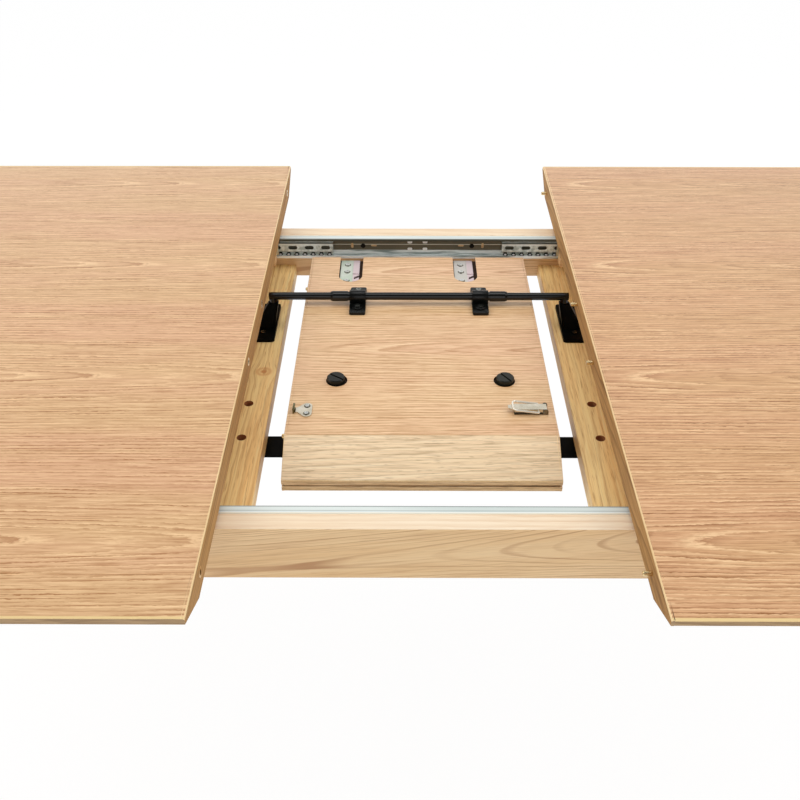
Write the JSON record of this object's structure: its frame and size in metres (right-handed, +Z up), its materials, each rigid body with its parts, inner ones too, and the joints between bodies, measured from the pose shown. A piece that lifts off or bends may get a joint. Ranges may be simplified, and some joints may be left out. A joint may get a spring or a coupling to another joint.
{
  "type": "dining table",
  "caption": "Extending dining table on a four-leg frame: two half tops slide apart on ball slides over a folded butterfly leaf that swings up on a rod between them.",
  "frame": {"origin": "on the floor, midway between the half tops and midway across the table's depth", "axes": "+X towards the right half top, the way the table extends, +Y towards the back, +Z up"},
  "size_m": [1.892, 0.9, 0.75],
  "materials": {
    "oak_veneer": "satin oak veneer",
    "oak_edges": "satin solid oak",
    "frame_wood": "satin light hardwood",
    "zinc_steel": "zinc plated",
    "ball_steel": "polished bearing steel",
    "nickel": "nickel plated",
    "black_steel": "satin black",
    "brass": "bright",
    "black_plastic": "matte black"
  },
  "bodies": {
    "frame": {"apron_front": "frame_wood", "apron_back": "frame_wood", "cross_rails": "frame_wood", "end_rails": "frame_wood", "leg_back_right": "frame_wood", "leg_back_left": "frame_wood", "leg_front_right": "frame_wood", "leg_front_left": "frame_wood", "corner_blocks": "frame_wood", "leg_bolts": "zinc_steel", "foot_pads": "black_plastic", "slide_channel_front": "zinc_steel", "slide_channel_back": "zinc_steel", "channel_screws": "zinc_steel", "support_strap": "black_steel", "rail_screws": "black_steel", "swing_rod": "black_steel", "rod_brackets": "black_steel", "rod_collars": "black_steel"},
    "left_top": {"left_top_panel": "oak_veneer", "left_top_edges": "oak_edges", "left_top_sockets": "brass", "left_cleats": "frame_wood", "left_slide_members": "zinc_steel", "left_top_screws": "zinc_steel", "top_latch_base": "nickel"},
    "right_top": {"right_top_panel": "oak_veneer", "right_top_edges": "oak_edges", "right_top_pins": "brass", "right_cleats": "frame_wood", "right_slide_members": "zinc_steel", "right_top_screws": "zinc_steel", "top_catch": "nickel"},
    "left_cages": {"left_ball_cages": "zinc_steel", "left_slide_balls": "ball_steel"},
    "right_cages": {"right_ball_cages": "zinc_steel", "right_slide_balls": "ball_steel"},
    "leaf_half_a": {"leaf_a_panel": "oak_veneer", "leaf_a_edges": "oak_edges", "leaf_a_pins_and_sockets": "brass", "leaf_a_hinge_plates": "zinc_steel", "leaf_hinge_pins": "zinc_steel", "leaf_a_screws": "zinc_steel", "rod_clamps": "black_steel", "rod_clamp_screws": "black_steel", "leaf_latch_base": "nickel", "leaf_catch": "nickel"},
    "leaf_half_b": {"leaf_b_panel": "oak_veneer", "leaf_b_edges": "oak_edges", "leaf_b_pins_and_sockets": "brass", "leaf_b_hinge_plates": "zinc_steel", "leaf_b_screws": "zinc_steel"},
    "leaf_latch_lever_body": {"leaf_latch_lever": "nickel"},
    "leaf_latch_loop_body": {"leaf_latch_loop": "nickel"},
    "top_latch_lever_body": {"top_latch_lever": "nickel"},
    "top_latch_loop_body": {"top_latch_loop": "nickel"},
    "glide_a_left_body": {"glide_a_left": "black_plastic"},
    "glide_a_right_body": {"glide_a_right": "black_plastic"},
    "glide_b_left_body": {"glide_b_left": "black_plastic"},
    "glide_b_right_body": {"glide_b_right": "black_plastic"}
  },
  "joints": [
    {"name": "left_top_slide", "type": "slide", "parent": "frame", "child": "left_top", "axis": [-1, 0, 0], "range_m": [-0.19585, 0]},
    {"name": "right_top_slide", "type": "slide", "parent": "frame", "child": "right_top", "axis": [1, 0, 0], "range_m": [-0.19585, 0]},
    {"name": "left_cage_slide", "type": "slide", "parent": "frame", "child": "left_cages", "axis": [-1, 0, 0], "range_m": [-0.098, 0]},
    {"name": "right_cage_slide", "type": "slide", "parent": "frame", "child": "right_cages", "axis": [1, 0, 0], "range_m": [-0.098, 0]},
    {"name": "leaf_swing", "type": "hinge", "parent": "frame", "child": "leaf_half_a", "pos_m": [0, 0.126, 0.709], "axis": [-1, 0, 0], "range_deg": [0, 180]},
    {"name": "leaf_unfold", "type": "hinge", "parent": "leaf_half_a", "child": "leaf_half_b", "pos_m": [-0.093, 0.252, 0.6674], "axis": [1, 0, 0], "range_deg": [0, 180]},
    {"name": "leaf_latch_lever_turn", "type": "hinge", "parent": "leaf_half_a", "child": "leaf_latch_lever_body", "pos_m": [0.139, -0.106, 0.7018], "axis": [0, 1, 0], "range_deg": [0, 150]},
    {"name": "leaf_latch_loop_turn", "type": "hinge", "parent": "leaf_latch_lever_body", "child": "leaf_latch_loop_body", "pos_m": [0.131, -0.106, 0.7018], "axis": [0, -1, 0], "range_deg": [-174, 0]},
    {"name": "top_latch_lever_turn", "type": "hinge", "parent": "left_top", "child": "top_latch_lever_body", "pos_m": [-0.207, 0.358, 0.7162], "axis": [0, -1, 0], "range_deg": [0, 150]},
    {"name": "top_latch_loop_turn", "type": "hinge", "parent": "top_latch_lever_body", "child": "top_latch_loop_body", "pos_m": [-0.215, 0.358, 0.7162], "axis": [0, 1, 0], "range_deg": [-174, 0]},
    {"name": "glide_a_left_turn", "type": "hinge", "parent": "leaf_half_a", "child": "glide_a_left_body", "pos_m": [-0.099, -0.04785, 0.698], "axis": [0, 0, 1], "range_deg": [-180, 180]},
    {"name": "glide_a_right_turn", "type": "hinge", "parent": "leaf_half_a", "child": "glide_a_right_body", "pos_m": [0.099, -0.04785, 0.698], "axis": [0, 0, 1], "range_deg": [-180, 180]},
    {"name": "glide_b_left_turn", "type": "hinge", "parent": "leaf_half_b", "child": "glide_b_left_body", "pos_m": [-0.099, -0.04785, 0.6368], "axis": [0, 0, -1], "range_deg": [-180, 180]},
    {"name": "glide_b_right_turn", "type": "hinge", "parent": "leaf_half_b", "child": "glide_b_right_body", "pos_m": [0.099, -0.04785, 0.6368], "axis": [0, 0, -1], "range_deg": [-180, 180]}
  ],
  "couplings": [
    {"joint": "left_cage_slide", "follows": "left_top_slide", "ratio": 0.5},
    {"joint": "right_cage_slide", "follows": "right_top_slide", "ratio": 0.5},
    {"joint": "leaf_unfold", "follows": "leaf_swing", "ratio": 0.5}
  ]
}
